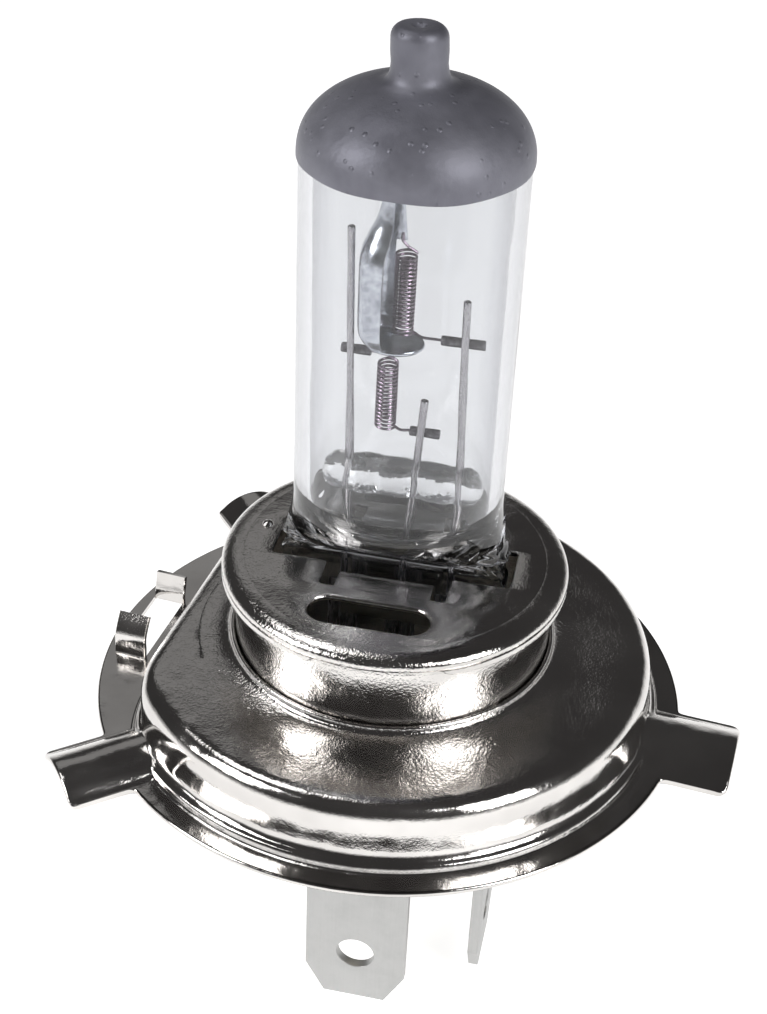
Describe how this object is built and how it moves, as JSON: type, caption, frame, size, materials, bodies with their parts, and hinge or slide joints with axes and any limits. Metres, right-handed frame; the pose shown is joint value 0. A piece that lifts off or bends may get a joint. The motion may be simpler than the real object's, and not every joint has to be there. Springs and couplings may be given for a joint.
{
  "type": "headlight bulb",
  "caption": "Halogen headlight bulb: coated clear glass tube with high and low beam filaments, plated three-lug flange base and blade terminals.",
  "frame": {"origin": "on the bulb axis, in the plane of the flange's front face", "axes": "+Z along the bulb axis towards the glass tip; +X towards the cross terminal and, within 6 degrees, the wide key lug; -Y towards the front one of the two parallel terminals"},
  "size_m": [0.0479, 0.0434, 0.0773],
  "materials": {
    "clear_glass": "clear fused quartz",
    "dome_paint": "satin dark grey heat-resistant coating on the glass",
    "shield_metal": "bright",
    "filament_wire": "drawn tungsten",
    "post_wire": "drawn molybdenum",
    "foil": "rolled molybdenum",
    "sleeve_metal": "dark oxidised",
    "plated_steel": "dark bright nickel plate",
    "insulator_moulding": "matt",
    "terminal_metal": "satin tin-nickel plate"
  },
  "bodies": {
    "root": {"glass_envelope": "clear_glass", "dome_coating": "dome_paint", "pinch_seal": "clear_glass", "support_post_left": "post_wire", "seal_foil_left": "foil", "support_post_middle": "post_wire", "seal_foil_middle": "foil", "support_post_right": "post_wire", "seal_foil_right": "foil", "low_beam_filament": "filament_wire", "high_beam_filament": "filament_wire", "crimp_sleeve_left": "sleeve_metal", "crimp_sleeve_middle": "sleeve_metal", "crimp_sleeve_right": "sleeve_metal", "quartz_bridge": "clear_glass", "beam_shield": "shield_metal", "holder_cap": "plated_steel", "holder_collar": "plated_steel", "base_ring": "plated_steel", "rear_shell": "plated_steel", "insulator": "insulator_moulding", "terminal_front": "terminal_metal", "terminal_back": "terminal_metal", "terminal_cross": "terminal_metal", "lead_wire_front": "post_wire", "lead_wire_back": "post_wire", "lead_wire_cross": "post_wire"}
  },
  "joints": []
}
